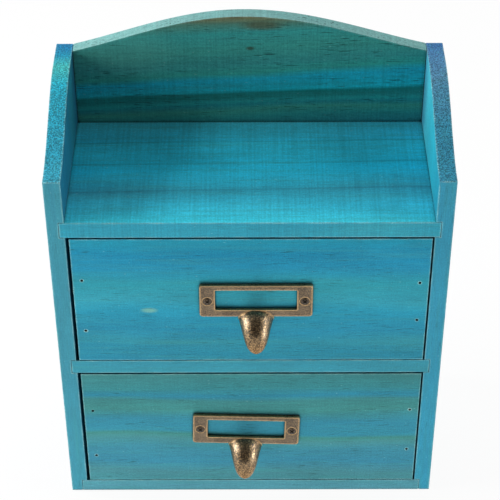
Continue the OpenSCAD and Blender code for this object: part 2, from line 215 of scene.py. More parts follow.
# Noises of the wood, each as the length and width of its blotches in millimetres, its detail and its
# roughness. The fibres and pores are drawn about twice as coarse as pine's so that they show at the camera's
# distance.
NOISES = {
    "drift": (150, 34, 1.0, 0.5),
    "clouds": (55, 20, 2.0, 0.5),
    "streaks": (80, 3.0, 3.0, 0.6),
    "fibres": (12, 0.7, 3.0, 0.65),
    "clusters": (40, 9, 1.0, 0.5),
    "pores": (9, 0.6, 1.0, 0.5),
    "pale_flecks": (2.5, 0.9, 1.0, 0.5),
    "chatter": (1.2, 60, 0.0, 0.5),
    "speckle": (0.9, 0.9, 2.0, 0.6),
    "rub": (11, 5, 3.0, 0.6),
}

# Growth rings, in millimetres: how far the pith lies behind a board, the length and width of the rings'
# bends, how far they bend, and how far along the grain the figure shifts from one seed to the next
PITH_DEPTH = 50
BEND_LENGTH, BEND_WIDTH = 110, 60
BEND = 12.0
SEED_SHIFT = 137.0
# Radians that the wave texture turns through in each unit at a scale of 1
WAVE_RADIANS = 20
# How near another face must be for stain and dust to gather and for painted shade to darken the wood,
# and how deep the cut pores are
JOINT_REACH = 2.4 * MM
PORE_DEPTH = 0.1 * MM


def stained_pine(name, box, finish, wood):
    """Pine boards, planed, rubbed with a thin blue-green stain and left open-pored. The eye gets a matt,
    even blue with greener zones along the grain, fine fibres, short dark pores and pale lines where the
    arrises are rubbed through."""
    # Open-pored wood with no varnish mirrors about half as much as a smooth surface
    material, tree, shader = new_material(name, {"IOR": 1.5, "Specular IOR Level": 0.25})
    grain, across = AXES.index(finish["grain"]), AXES.index(finish["across"])
    depth = 3 - grain - across
    low, high = (corner[across] / MM for corner in box)

    # Millimetres along the grain, across the board and through it
    place = add_node(tree, "ShaderNodeTexCoord").outputs["Object"]
    split = add_node(tree, "ShaderNodeSeparateXYZ", inputs={0: place})
    turned = add_node(tree, "ShaderNodeCombineXYZ", inputs={
        0: split.outputs[grain], 1: split.outputs[across], 2: split.outputs[depth],
    })
    board = add_node(tree, "ShaderNodeVectorMath", {"operation": "SCALE"}, {
        0: turned.outputs[0], "Scale": 1 / MM,
    })
    figure = add_node(tree, "ShaderNodeVectorMath", {"operation": "ADD"}, {
        0: board.outputs[0], 1: (SEED_SHIFT * finish["seed"], 0.0, 0.0),
    })
    noises = {}
    for kind, (length, width, detail, roughness) in NOISES.items():
        stretched = add_node(tree, "ShaderNodeVectorMath", {"operation": "MULTIPLY"}, {
            0: figure.outputs[0], 1: (1 / length, 1 / width, 1 / width),
        })
        noises[kind] = add_node(tree, "ShaderNodeTexNoise", inputs={
            "Vector": stretched.outputs[0], "Scale": 1.0, "Detail": detail, "Roughness": roughness,
        }).outputs[0]

    # The zones of stain climb along the board and stray with the grain
    board_place = add_node(tree, "ShaderNodeSeparateXYZ", inputs={0: board.outputs[0]})
    length = (box[1][grain] - box[0][grain]) / MM
    climbed = add_node(tree, "ShaderNodeMath", {"operation": "MULTIPLY_ADD"}, {
        0: board_place.outputs[0], 1: -finish["rise"] / length, 2: board_place.outputs[1],
    })
    drift = add_node(tree, "ShaderNodeMapRange", inputs={
        0: noises["drift"], 1: 0.25, 2: 0.75, 3: -finish["wander"], 4: finish["wander"],
    })
    strayed = add_node(tree, "ShaderNodeMath", {"operation": "ADD"}, {
        0: climbed.outputs[0], 1: drift.outputs[0],
    })
    share = add_node(tree, "ShaderNodeMapRange", inputs={0: strayed.outputs[0], 1: low, 2: high})
    zones = add_node(tree, "ShaderNodeValToRGB", {}, {0: share.outputs[0]}, stops=finish["zones"])

    # Growth rings round a pith behind the board: each ends in a thin dark line of late wood
    bend = add_node(tree, "ShaderNodeVectorMath", {"operation": "MULTIPLY"}, {
        0: figure.outputs[0], 1: (1 / BEND_LENGTH, 1 / BEND_WIDTH, 1 / BEND_WIDTH),
    })
    bends = add_node(tree, "ShaderNodeTexNoise", inputs={
        "Vector": bend.outputs[0], "Scale": 1.0, "Detail": 1.0,
    })
    from_pith = add_node(tree, "ShaderNodeVectorMath", {"operation": "ADD"}, {
        0: board.outputs[0], 1: (0.0, -0.4 * low - 0.6 * high, -(box[0][depth] / MM + PITH_DEPTH)),
    })
    bent = add_node(tree, "ShaderNodeVectorMath", {"operation": "MULTIPLY_ADD"}, {
        0: bends.outputs[1], 1: (0.0, BEND, BEND), 2: from_pith.outputs[0],
    })
    rings = add_node(tree, "ShaderNodeTexWave", {
        "wave_type": "RINGS", "rings_direction": "X", "wave_profile": "SAW",
    }, {
        "Vector": bent.outputs[0], "Distortion": 0.0,
        "Scale": math.tau / WAVE_RADIANS / (wood.ring_width / MM),
    })
    clustered = add_node(tree, "ShaderNodeMapRange", inputs={0: noises["clusters"], 1: 0.42, 2: 0.6})
    pores = add_node(tree, "ShaderNodeMapRange", inputs={0: noises["pores"], 1: 0.61, 2: 0.7})
    in_clusters = add_node(tree, "ShaderNodeMath", {"operation": "MULTIPLY"}, {
        0: clustered.outputs[0], 1: pores.outputs[0],
    })

    # The face a point lies on: the reverse of the board, a sawn long edge, or end grain
    normal = add_node(tree, "ShaderNodeNewGeometry").outputs["True Normal"]
    sides = add_node(tree, "ShaderNodeSeparateXYZ", inputs={0: normal})
    facing = add_node(tree, "ShaderNodeVectorMath", {"operation": "ABSOLUTE"}, {0: normal})
    faces = add_node(tree, "ShaderNodeSeparateXYZ", inputs={0: facing.outputs[0]})

    # An arris is where a rounded normal leaves the face's own one
    rounded = add_node(tree, "ShaderNodeBevel", {"samples": 6}, {"Radius": wood.wear_width})
    turn = add_node(tree, "ShaderNodeVectorMath", {"operation": "DOT_PRODUCT"}, {
        0: rounded.outputs[0], 1: normal,
    })
    arris = add_node(tree, "ShaderNodeMapRange", inputs={0: turn.outputs["Value"], 1: 0.995, 2: 0.86})
    worn = add_node(tree, "ShaderNodeMapRange", inputs={0: noises["rub"], 1: 0.36, 2: 0.6, 3: 0.2, 4: 1.0})
    joint = add_node(tree, "ShaderNodeAmbientOcclusion", {"samples": 4}, {
        "Distance": JOINT_REACH,
    }).outputs["AO"]
    in_reach = add_node(tree, "ShaderNodeMapRange", inputs={0: joint, 1: 0.5, 2: 0.8})
    rubbed = add_node(tree, "ShaderNodeMath", {"operation": "MULTIPLY"}, {
        0: arris.outputs[0], 1: worn.outputs[0],
    })
    bare = add_node(tree, "ShaderNodeMath", {"operation": "MULTIPLY"}, {
        0: rubbed.outputs[0], 1: in_reach.outputs[0],
    })

    # Knots, patches and pale patches of painted light, each an oval that fades towards its rim
    marks_and_painted_light = []
    for (along, up, half_length, half_width), most, tint in finish.get("marks_and_painted_light", ()):
        offset = add_node(tree, "ShaderNodeVectorMath", {"operation": "SUBTRACT"}, {
            0: board.outputs[0], 1: (along, up, 0.0),
        })
        scaled = add_node(tree, "ShaderNodeVectorMath", {"operation": "MULTIPLY"}, {
            0: offset.outputs[0], 1: (1 / half_length, 1 / half_width, 0.0),
        })
        distance = add_node(tree, "ShaderNodeVectorMath", {"operation": "LENGTH"}, {0: scaled.outputs[0]})
        marks_and_painted_light.append((distance.outputs["Value"], 1.0, 0.4, most, linear(tint)))

    # Tints over the stain: what drives each, where it starts and is full, how much of it at most, and its
    # colour
    end_colour = add_node(tree, "ShaderNodeValToRGB", {}, {0: share.outputs[0]}, stops=finish["end"])
    reverse = [(sides.outputs[depth], 0.4, 0.8, 0.8, linear(tint)) for tint in finish.get("reverse", ())]
    colour = zones.outputs[0]
    for driver, start, full, most, tint in (
        *marks_and_painted_light,
        *reverse,
        (faces.outputs[across], 0.4, 0.8, 1.0, linear(finish["edge"])),
        (faces.outputs[grain], 0.3, 0.7, 1.0, end_colour.outputs[0]),
        (noises["streaks"], 0.48, 0.72, 0.35, wood.hard_grain),
        (rings.outputs[1], 0.7, 0.98, finish["rings"], wood.late_wood),
        (in_clusters.outputs[0], 0.0, 1.0, finish["pores"], wood.pore),
        (noises["pale_flecks"], 0.74, 0.8, 0.35, wood.rubbed),
        (bare.outputs[0], 0.0, 1.0, 1.0, wood.rubbed),
    ):
        amount = add_node(tree, "ShaderNodeMapRange", inputs={0: driver, 1: start, 2: full, 3: 0.0, 4: most})
        colour = add_node(tree, "ShaderNodeMix", {"data_type": "RGBA"}, {
            0: amount.outputs[0], 6: colour,
            7: tint if isinstance(tint, bpy.types.NodeSocket) else rgba(tint[:]),
        }).outputs[2]

    # Cut pores speckle the end grain
    pits = add_node(tree, "ShaderNodeMapRange", inputs={
        0: noises["speckle"], 1: 0.4, 2: 0.6, 3: 0.55, 4: 1.32,
    })
    speckled = add_node(tree, "ShaderNodeVectorMath", {"operation": "SCALE"}, {
        0: colour, "Scale": pits.outputs[0],
    })
    on_end = add_node(tree, "ShaderNodeMapRange", inputs={0: faces.outputs[grain], 1: 0.3, 2: 0.7})
    colour = add_node(tree, "ShaderNodeMix", {"data_type": "RGBA"}, {
        0: on_end.outputs[0], 6: colour, 7: speckled.outputs[0],
    }).outputs[2]

    # Stain and dust darken the joints, and painted shade darkens the joints, the nail holes and the inner
    # corners wherever other faces are near
    dust_and_painted_shade = add_node(tree, "ShaderNodeMapRange", inputs={0: joint, 1: 0.38, 2: 0.8, 3: 0.1, 4: 1.0})
    colour = add_node(tree, "ShaderNodeVectorMath", {"operation": "SCALE"}, {
        0: colour, "Scale": dust_and_painted_shade.outputs[0],
    }).outputs[0]

    # Shades: each noise darkens and lightens the colour between two factors
    for kind, darkest, lightest in (
        ("clouds", 0.92, 1.08), ("fibres", 0.86, 1.14), ("speckle", 0.84, 1.16),
        ("chatter", 1 - finish["chatter"], 1 + finish["chatter"]),
    ):
        factor = add_node(tree, "ShaderNodeMapRange", inputs={
            0: noises[kind], 1: 0.3, 2: 0.7, 3: darkest, 4: lightest,
        })
        colour = add_node(tree, "ShaderNodeVectorMath", {"operation": "SCALE"}, {
            0: colour, "Scale": factor.outputs[0],
        }).outputs[0]

    height = add_node(tree, "ShaderNodeMath", {"operation": "SUBTRACT"}, {
        0: noises["fibres"], 1: in_clusters.outputs[0],
    })
    bump = add_node(tree, "ShaderNodeBump", inputs={
        "Strength": 0.4, "Distance": PORE_DEPTH, "Height": height.outputs[0],
    })
    roughness = add_node(tree, "ShaderNodeMapRange", inputs={
        0: noises["fibres"], 1: 0.3, 2: 0.7, 3: 0.55, 4: 0.7,
    })
    link_shader(tree, shader, colour, roughness, bump)
    return material


# How far from an edge the tumbling bares the brass, and how near its walls must be for a hollow to darken
# with dirt and painted shade
TUMBLED_WIDTH = 1.6 * MM
HOLLOW_REACH = 1.5 * MM
# The casting's grains and their depth, the patina's clouds and the steel's rust spots
GRAIN = 0.8 * MM
GRAIN_DEPTH = 0.08 * MM
CLOUD = 6 * MM
RUST_SPOT = 0.6 * MM
# Share of the hood's drop at which the grip starts to bare it and the painted reflection of the floor begins
GRIP_AND_REFLECTION_FROM = 0.3


def antique_brass(name, pull, patina, wear, golden):
    """Cast brass, darkened to brown and tumbled. The eye gets a dull brown that shines golden along every
    edge and towards the hood's tip, where the gold is wear and also a painted reflection of the floor, and
    is nearly black in the hollows, from dark patina and from painted shade. patina is its dark and its plain
    colour, wear is how strongly bright grains show and golden how far the edges and the grip are bared and
    how strongly the painted reflection shows on the tip."""
    # A clear lacquer over the patina gives the pale highlights
    material, tree, shader = new_material(name, {
        "Metallic": 1.0, "Coat Weight": 0.7, "Coat Roughness": 0.3, "Coat IOR": 1.5,
    })
    place = add_node(tree, "ShaderNodeTexCoord").outputs["Object"]
    grains = add_node(tree, "ShaderNodeTexNoise", inputs={
        "Vector": place, "Scale": 1 / GRAIN, "Detail": 3.0, "Roughness": 0.65,
    }).outputs[0]
    clouds = add_node(tree, "ShaderNodeTexNoise", inputs={
        "Vector": place, "Scale": 1 / CLOUD, "Detail": 3.0,
    }).outputs[0]
    colour = add_node(tree, "ShaderNodeValToRGB", {}, {0: clouds}, stops=(
        (0.35, patina[0]), (0.65, patina[1]),
    )).outputs[0]
    rounded = add_node(tree, "ShaderNodeBevel", {"samples": 6}, {"Radius": TUMBLED_WIDTH})
    flat = add_node(tree, "ShaderNodeNewGeometry").outputs["True Normal"]
    turn = add_node(tree, "ShaderNodeVectorMath", {"operation": "DOT_PRODUCT"}, {
        0: rounded.outputs[0], 1: flat,
    })
    edge = add_node(tree, "ShaderNodeMapRange", inputs={0: turn.outputs["Value"], 1: 0.995, 2: 0.93})
    hollow = add_node(tree, "ShaderNodeAmbientOcclusion", {"samples": 8}, {"Distance": HOLLOW_REACH})
    open_air = add_node(tree, "ShaderNodeMapRange", inputs={0: hollow.outputs["AO"], 1: 0.6, 2: 0.85})
    worn = add_node(tree, "ShaderNodeMath", {"operation": "MULTIPLY"}, {
        0: edge.outputs[0], 1: open_air.outputs[0],
    })
    # The hood is gripped at its tip, so the patina wears off downwards from the frame. The golden there is
    # also a painted reflection of the bright floor.
    parts = add_node(tree, "ShaderNodeSeparateXYZ", inputs={0: place})
    grip_and_reflection = add_node(tree, "ShaderNodeMapRange", inputs={
        0: parts.outputs[1],
        1: -pull.frame_height / 2 - GRIP_AND_REFLECTION_FROM * pull.hood_drop, 2: -pull.frame_height / 2 - pull.hood_drop,
    })
    # The frame's edges are bared, but not the corner where the hood leaves it. The hood is the grainier
    # casting.
    on_hood = add_node(tree, "ShaderNodeMapRange", inputs={
        0: parts.outputs[2], 1: pull.frame_t + 0.1 * MM, 2: pull.frame_t + 0.3 * MM,
    })
    amounts = []
    for driver, start, full, on_frame, beyond in (
        (grains, 0.5, 0.62, 0.4, 1.0), (worn.outputs[0], 0.0, 1.0, 1.0, 0.0),
    ):
        share = add_node(tree, "ShaderNodeMapRange", inputs={0: on_hood.outputs[0], 3: on_frame, 4: beyond})
        shown = add_node(tree, "ShaderNodeMapRange", inputs={0: driver, 1: start, 2: full})
        amounts.append(add_node(tree, "ShaderNodeMath", {"operation": "MULTIPLY"}, {
            0: shown.outputs[0], 1: share.outputs[0],
        }).outputs[0])
    flecks, tumbled = amounts
    for driver, start, full, most, tint in (
        (grip_and_reflection.outputs[0], 0.0, 1.0, 0.8 * golden, pull.gripped_and_reflected), (flecks, 0.0, 1.0, wear, pull.brass),
        (tumbled, 0.0, 1.0, golden, pull.brass),
    ):
        amount = add_node(tree, "ShaderNodeMapRange", inputs={0: driver, 1: start, 2: full, 3: 0.0, 4: most})
        colour = add_node(tree, "ShaderNodeMix", {"data_type": "RGBA"}, {
            0: amount.outputs[0], 6: colour, 7: rgba(tint[:]),
        }).outputs[2]
    # Dark patina fills the hollows and dirt the pits of the casting. Where the frame and hood lie near the
    # wood or each other, the darkening is painted shade.
    for driver, start, clean, darkest in (
        (hollow.outputs["AO"], 0.35, 0.8, 0.12), (grains, 0.36, 0.5, 0.45),
    ):
        dirt_and_painted_shade = add_node(tree, "ShaderNodeMapRange", inputs={
            0: driver, 1: start, 2: clean, 3: darkest, 4: 1.0,
        })
        colour = add_node(tree, "ShaderNodeVectorMath", {"operation": "SCALE"}, {
            0: colour, "Scale": dirt_and_painted_shade.outputs[0],
        }).outputs[0]
    roughness = add_node(tree, "ShaderNodeMapRange", inputs={0: grains, 1: 0.3, 2: 0.7, 3: 0.28, 4: 0.46})
    bump = add_node(tree, "ShaderNodeBump", inputs={
        "Strength": 0.3, "Distance": GRAIN_DEPTH, "Height": grains,
    })
    link_shader(tree, shader, colour, roughness, bump)
    return material


def dark_steel(name, colour, roughness):
    """Drawn steel wire, blued and rusted a little. The eye gets a nearly black head with a dull shine, dark
    also as painted shade of the hole it is set in.
    """
    material, tree, shader = new_material(name, {"Metallic": 1.0, "Roughness": roughness})
    place = add_node(tree, "ShaderNodeTexCoord").outputs["Object"]
    spots = add_node(tree, "ShaderNodeTexNoise", inputs={
        "Vector": place, "Scale": 1 / RUST_SPOT, "Detail": 3.0,
    }).outputs[0]
    rust = add_node(tree, "ShaderNodeMapRange", inputs={0: spots, 1: 0.45, 2: 0.7, 3: 0.0, 4: 0.7})
    mix = add_node(tree, "ShaderNodeMix", {"data_type": "RGBA"}, {
        0: rust.outputs[0], 6: rgba(colour), 7: rgba("#2A1D16"),
    })
    tree.links.new(mix.outputs[2], shader.inputs["Base Color"])
    return material


# Meshes

# Faces that meet within the first angle are one face, and an edge sharper than the second is an arris. Edges
# of the boards and of the pulls are shaded smooth up to the last two. Points within WELD are one point.
FLAT_WITHIN = math.radians(0.5)
ARRIS_FROM = math.radians(45)
BOARD_SMOOTH = math.radians(40)
PULL_SMOOTH = math.radians(28)
WELD = 1e-6

# Of the pulls: facets round each of the plate's edges, the window's edge as a share of the outer one, its
# corners as a share of that edge, and the corners of the card's recess
EDGE_FACETS = 3
WINDOW_EDGE = 0.6
WINDOW_CORNER = 1.5
RECESS_CORNER = 0.4 * MM
# Of the hood: how far up the bottom rail its root lies, shares of the fillet by which it widens and rises
# there, and how full its rim is
ROOT_SHARE = 0.85
FLARE_OUT, FLARE_UP = 0.5, 0.3
RIM_FULLNESS = 0.8


def finish_object(name, mesh, material, body, nodes, place=None):
    """Links a mesh as a piece that rides on a body and stands for the CAD nodes."""
    piece = bpy.data.objects.new(name, mesh)
    bpy.context.scene.collection.objects.link(piece)
    piece.matrix_world = place or Matrix.Identity(4)
    mesh.materials.append(material)
    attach(piece, body)
    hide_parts(*nodes)
    return piece


def eased_board(node, body, material, wood):
    """A board with the CAD board's outline, housings and nail holes, and with its long arrises eased."""
    mesh = bpy.data.meshes.new(f"{node}_board")
    shape = bmesh.new()
    shape.from_mesh(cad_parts[node].data)
    bmesh.ops.remove_doubles(shape, verts=shape.verts, dist=WELD)
    bmesh.ops.dissolve_limit(
        shape, angle_limit=FLAT_WITHIN, verts=shape.verts, edges=shape.edges,
    )
    arrises = [
        e for e in shape.edges
        if len(e.link_faces) == 2 and e.calc_length() > wood.shortest_arris
        and e.calc_face_angle(0.0) > ARRIS_FROM and e.is_convex
    ]
    bmesh.ops.bevel(
        shape, geom=arrises, offset=wood.ease, segments=wood.ease_segments, profile=0.5,
        affect="EDGES", clamp_overlap=True,
    )
    for f in shape.faces:
        f.smooth = True
    for e in shape.edges:
        e.smooth = e.calc_face_angle(0.0) < BOARD_SMOOTH
    shape.to_mesh(mesh)
    shape.free()
    piece = finish_object(f"{node}_board", mesh, material, body, [node])
    weighted = piece.modifiers.new("flat_faces", "WEIGHTED_NORMAL")
    weighted.keep_sharp = True
    return piece


def ring_of(points, shape):
    return [shape.verts.new(p) for p in points]


def skin(shape, first, second):
    """Quads between two closed rings of as many points."""
    count = len(first)
    for i in range(count):
        j = (i + 1) % count
        shape.faces.new((first[i], first[j], second[j], second[i]))


def rounded_rectangle(width, height, radius, depth, centre_y=0.0, steps=8):
    """Points round a rectangle with rounded corners, anticlockwise seen from the front."""
    points = []
    for corner, (x, y) in enumerate(((1, 1), (-1, 1), (-1, -1), (1, -1))):
        for i in range(steps + 1):
            a = math.radians(90 * (corner + i / steps))
            points.append((
                x * (width / 2 - radius) + radius * math.cos(a),
                centre_y + y * (height / 2 - radius) + radius * math.sin(a),
                depth,
            ))
    return points


def label_plate(shape, pull):
    """The label frame: rounded edges outside, a bevelled window, and the card's recess behind it."""
    drop = (pull.top_rail - (pull.frame_height - pull.window_height - pull.top_rail)) / 2
    edge, steps = pull.edge, EDGE_FACETS
    rings = [ring_of(rounded_rectangle(pull.frame_width, pull.frame_height, pull.corner, 0.0), shape)]
    for i in range(steps + 1):
        a = math.radians(90 * i / steps)
        inset = edge * (1 - math.cos(a))
        rings.append(ring_of(rounded_rectangle(
            pull.frame_width - 2 * inset, pull.frame_height - 2 * inset, pull.corner - inset * 0.5,
            pull.frame_t - edge * (1 - math.sin(a)),
        ), shape))
    inner_edge = edge * WINDOW_EDGE
    for i in range(steps + 1):
        a = math.radians(90 * i / steps)
        inset = inner_edge * math.sin(a)
        rings.append(ring_of(rounded_rectangle(
            pull.window_width + 2 * (inner_edge - inset), pull.window_height + 2 * (inner_edge - inset),
            inner_edge * WINDOW_CORNER, pull.frame_t - inner_edge * (1 - math.cos(a)), -drop,
        ), shape))
    recess = (
        (pull.window_width, pull.window_height, pull.recess),
        (pull.window_width + 2 * pull.lip, pull.window_height + 2 * pull.lip, pull.recess),
        (pull.window_width + 2 * pull.lip, pull.window_height + 2 * pull.lip, 0.0),
    )
    for width, height, depth in recess:
        rings.append(ring_of(rounded_rectangle(width, height, RECESS_CORNER, depth, -drop), shape))
    for first, second in zip(rings, rings[1:] + rings[:1]):
        skin(shape, first, second)


def hood_point(pull, along, turn, inset):
    """A point of the hood's skin. along runs from 0 at the frame to 1 at the tip, and turn over its arch."""
    root = pull.frame_t / 2
    bottom_rail = pull.frame_height - pull.window_height - pull.top_rail
    top = -pull.frame_height / 2 + ROOT_SHARE * bottom_rail
    reach = pull.hood_reach - root - inset
    drop = top + pull.frame_height / 2 + pull.hood_drop - inset
    angle = math.radians(90 * along)
    shrink = max(1 - along, 0.0) ** (1 / pull.hood_fullness)
    # The casting runs into the frame with a fillet
    rise = (root + reach * math.sin(angle) - pull.frame_t) / pull.fillet
    flare = 0.0 if rise >= 1 else pull.fillet * (1 - math.sqrt(max(0.0, 1 - (1 - max(rise, 0.0)) ** 2)))
    half = (pull.hood_width / 2 - inset) * shrink + flare * FLARE_OUT
    arch = (pull.hood_arch - inset) * shrink * (1 + pull.hood_bulge * math.sin(math.radians(180 * along)))
    course = Vector((-drop * math.sin(angle), reach * math.cos(angle)))
    inward = course.normalized()
    depth = arch * (1 - math.cos(turn))
    raised = flare * math.cos(turn) * FLARE_UP
    return Vector((
        half * math.sin(turn),
        top - inset - drop * (1 - math.cos(angle)) - inward.y * depth + raised,
        root + reach * math.sin(angle) + inward.x * depth,
    ))


def hood(shape, pull):
    """The finger hood: half a thimble with a rounded rim, open below and behind."""
    stations, sectors, rim_steps = 44, 32, 4
    wall = pull.hood_wall
    rings = []
    for i in range(stations):
        along = 1 - math.cos(math.pi / 2 * i / stations) ** 3
        turns = [math.pi * (j / sectors - 0.5) for j in range(sectors + 1)]
        outside = [hood_point(pull, along, t, 0.0) for t in turns]
        inside = [hood_point(pull, along, t, wall) for t in turns]
        rims = []
        for end, sign in ((-1, 1), (0, -1)):
            outer, inner = outside[end], inside[end]
            middle, half = (outer + inner) / 2, (outer - inner) / 2
            neighbour = outside[end - 1 if end else 1]
            beyond = (outer - neighbour).normalized() * half.length * RIM_FULLNESS
            swings = [math.pi * k / rim_steps for k in range(1, rim_steps)]
            arc = [middle + half * math.cos(a) + beyond * math.sin(a) for a in swings]
            rims.append(arc if sign > 0 else arc[::-1])
        rings.append(ring_of(outside + rims[0] + inside[::-1] + rims[1], shape))
    for first, second in zip(rings, rings[1:]):
        skin(shape, first, second)
    shape.faces.new(rings[0][::-1])
    shape.faces.new(rings[-1])


def screw_holes(pull):
    """The countersunk holes of both screws, as a shape to cut out of the plate."""
    shape = bmesh.new()
    sides = 48
    play, sunk, beyond = 0.3 * MM, 0.25 * MM, MM
    head = pull.screw_head / 2 + play
    shank = 1.5 * MM
    course = (
        (head, pull.frame_t + beyond), (head, pull.frame_t - sunk),
        (shank, pull.frame_t - sunk - head + shank), (shank, -beyond),
    )
    for hand in (-1, 1):
        rings = [
            ring_of([
                Vector((
                    hand * pull.screw_spacing / 2 + radius * math.cos(math.tau * i / sides),
                    radius * math.sin(math.tau * i / sides), depth,
                )) for i in range(sides)
            ], shape)
            for radius, depth in course
        ]
        for first, second in zip(rings, rings[1:]):
            skin(shape, first, second)
        shape.faces.new(rings[0])
        shape.faces.new(rings[-1][::-1])
    bmesh.ops.recalc_face_normals(shape, faces=shape.faces)
    return shape


def dress(node, material):
    """Gives a CAD node's own mesh a material."""
    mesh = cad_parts[node].data
    mesh.materials.clear()
    mesh.materials.append(material)


def mesh_of(name, shape):
    mesh = bpy.data.meshes.new(name)
    shape.to_mesh(mesh)
    shape.free()
    return mesh


def cut_mesh(mesh, cutter_mesh):
    """The first mesh with the second one cut out of it."""
    whole = bpy.data.objects.new("whole", mesh)
    cutter = bpy.data.objects.new("cutter", cutter_mesh)
    for thing in (whole, cutter):
        bpy.context.scene.collection.objects.link(thing)
    cut = whole.modifiers.new("cut", "BOOLEAN")
    cut.operation, cut.solver, cut.object = "DIFFERENCE", "EXACT", cutter
    bpy.context.view_layer.update()
    result = bpy.data.meshes.new_from_object(whole.evaluated_get(bpy.context.evaluated_depsgraph_get()))
    for thing in (whole, cutter):
        bpy.data.objects.remove(thing)
    for old in (mesh, cutter_mesh):
        bpy.data.meshes.remove(old)
    return result


def pull_mesh(name, pull):
    plate = bmesh.new()
    label_plate(plate, pull)
    bmesh.ops.recalc_face_normals(plate, faces=plate.faces)
    drilled = cut_mesh(mesh_of("plate", plate), mesh_of("holes", screw_holes(pull)))
    shape = bmesh.new()
    hood(shape, pull)
    bmesh.ops.recalc_face_normals(shape, faces=shape.faces)
    shape.from_mesh(drilled)
    bpy.data.meshes.remove(drilled)
    for f in shape.faces:
        f.smooth = True
    for e in shape.edges:
        e.smooth = len(e.link_faces) == 2 and e.calc_face_angle(0.0) < PULL_SMOOTH
    return mesh_of(name, shape)


# Floor, lights and camera

FLOOR_HALF = 12.0
MIDDLE = Vector((0.0, 0.0, 0.14))
# A large black card behind and over the camera keeps the hoods' ridges dark, as in the photo. Only
# reflections show it.
CARD_HALF = (1.3, 1.2)
CARD_PLACE = (0.0, -0.9, 1.1)
# Share of plain white in what is seen of the floor's paper. The rest keeps the shadow.
PAPER_WHITE = 0.93
SENSOR_WIDTH = 36.0
# The lamp under the table is aimed at this point, high over the floor in front of the cabinet
OVERHEAD = Vector((0.0, -0.81, 9.0))
# Each lamp: its name, its place, what it faces, its width and height and its power, then whether it lights
# matt surfaces and whether shiny ones mirror it
LAMPS = (
    ("left_softbox", (-1.02, 0.0, 0.55), MIDDLE, (0.7, 0.7), 17.0, True, True),
    ("right_softbox", (0.95, 0.0, 0.69), MIDDLE, (0.6, 0.6), 5.0, True, True),
    ("rear_softbox", (0.0, 0.77, 1.06), MIDDLE, (0.9, 0.6), 6.0, True, False),
    ("right_strip", (0.85, -0.5, 0.2), MIDDLE, (0.2, 0.4), 2.6, False, True),
    ("under_table", (-0.05, -0.81, -1.2), OVERHEAD, (4.8, 0.8), 108.0, True, False),
)


def flat_sheet(name, half_width, half_length):
    """A level rectangle round its own middle."""
    mesh = bpy.data.meshes.new(name)
    corners = [(x * half_width, y * half_length, 0) for x, y in ((-1, -1), (1, -1), (1, 1), (-1, 1))]
    mesh.from_pydata(corners, [], [(0, 1, 2, 3)])
    sheet = bpy.data.objects.new(name, mesh)
    bpy.context.scene.collection.objects.link(sheet)
    return sheet


def aim(thing, spot, target):
    """Places a lamp or a card and turns its face to a target."""
    thing.location = spot
    thing.rotation_mode = "QUATERNION"
    thing.rotation_quaternion = (target - Vector(spot)).to_track_quat("-Z", "Y")


def background_rays(tree):
    """The rays, and 1 for those that show the background: seen, mirrored or through a clear surface."""
    rays = add_node(tree, "ShaderNodeLightPath")
    seen = rays.outputs["Is Camera Ray"]
    for kind in ("Is Glossy Ray", "Is Transmission Ray"):
        seen = add_node(tree, "ShaderNodeMath", {"operation": "MAXIMUM"}, {
            0: seen, 1: rays.outputs[kind],
        }).outputs[0]
    return rays, seen


def table_paper(name):
    """White paper over a light table. The eye gets plain white that keeps the cabinet's shadow."""
    material = bpy.data.materials.new(name)
    material.use_nodes = True
    tree = material.node_tree
    tree.nodes.clear()
    rays, seen = background_rays(tree)
    paper = add_node(tree, "ShaderNodeBsdfDiffuse", inputs={"Color": rgba("#F4F4F4")})
    white = add_node(tree, "ShaderNodeEmission", inputs={"Color": rgba("#FFFFFF"), "Strength": 1.0})
    share = add_node(tree, "ShaderNodeMath", {"operation": "MULTIPLY"}, {0: seen, 1: PAPER_WHITE})
    blend = add_node(tree, "ShaderNodeMixShader", inputs={
        0: share.outputs[0], 1: paper.outputs[0], 2: white.outputs[0],
    })
    # The lamp under the sheet shines through it
    clear = add_node(tree, "ShaderNodeBsdfTransparent", inputs={"Color": rgba("#FFFFFF")})
    sheet = add_node(tree, "ShaderNodeMixShader", inputs={
        0: rays.outputs["Is Shadow Ray"], 1: blend.outputs[0], 2: clear.outputs[0],
    })
    add_node(tree, "ShaderNodeOutputMaterial", inputs={"Surface": sheet.outputs[0]})
    return material


def black_felt(name):
    """Black felt. The eye gets no light from it."""
    return new_material(name, {"Base Color": rgba("#0A0A0A"), "Roughness": 0.9})[0]


def white_room(name, sky):
    """A room that shows white and lights the cabinet from all round with a strength of sky."""
    world = bpy.data.worlds.new(name)
    world.use_nodes = True
    tree = world.node_tree
    tree.nodes.clear()
    seen = background_rays(tree)[1]
    room = add_node(tree, "ShaderNodeBackground", inputs={"Color": rgba("#FFFFFF"), "Strength": sky})
    backdrop = add_node(tree, "ShaderNodeBackground", inputs={"Color": rgba("#FFFFFF"), "Strength": 1.0})
    mix = add_node(tree, "ShaderNodeMixShader", inputs={0: seen, 1: room.outputs[0], 2: backdrop.outputs[0]})
    add_node(tree, "ShaderNodeOutputWorld", inputs={"Surface": mix.outputs[0]})
    return world


def hang_lamp(name, spot, target, size, power, lighting, mirrored):
    """A softbox that the camera doesn't see."""
    lamp = bpy.data.lights.new(name, "AREA")
    lamp.shape = "RECTANGLE"
    lamp.size, lamp.size_y = size
    lamp.energy = power
    holder = bpy.data.objects.new(name, lamp)
    aim(holder, spot, target)
    holder.visible_camera = False
    holder.visible_diffuse = lighting
    holder.visible_glossy = mirrored
    bpy.context.scene.collection.objects.link(holder)


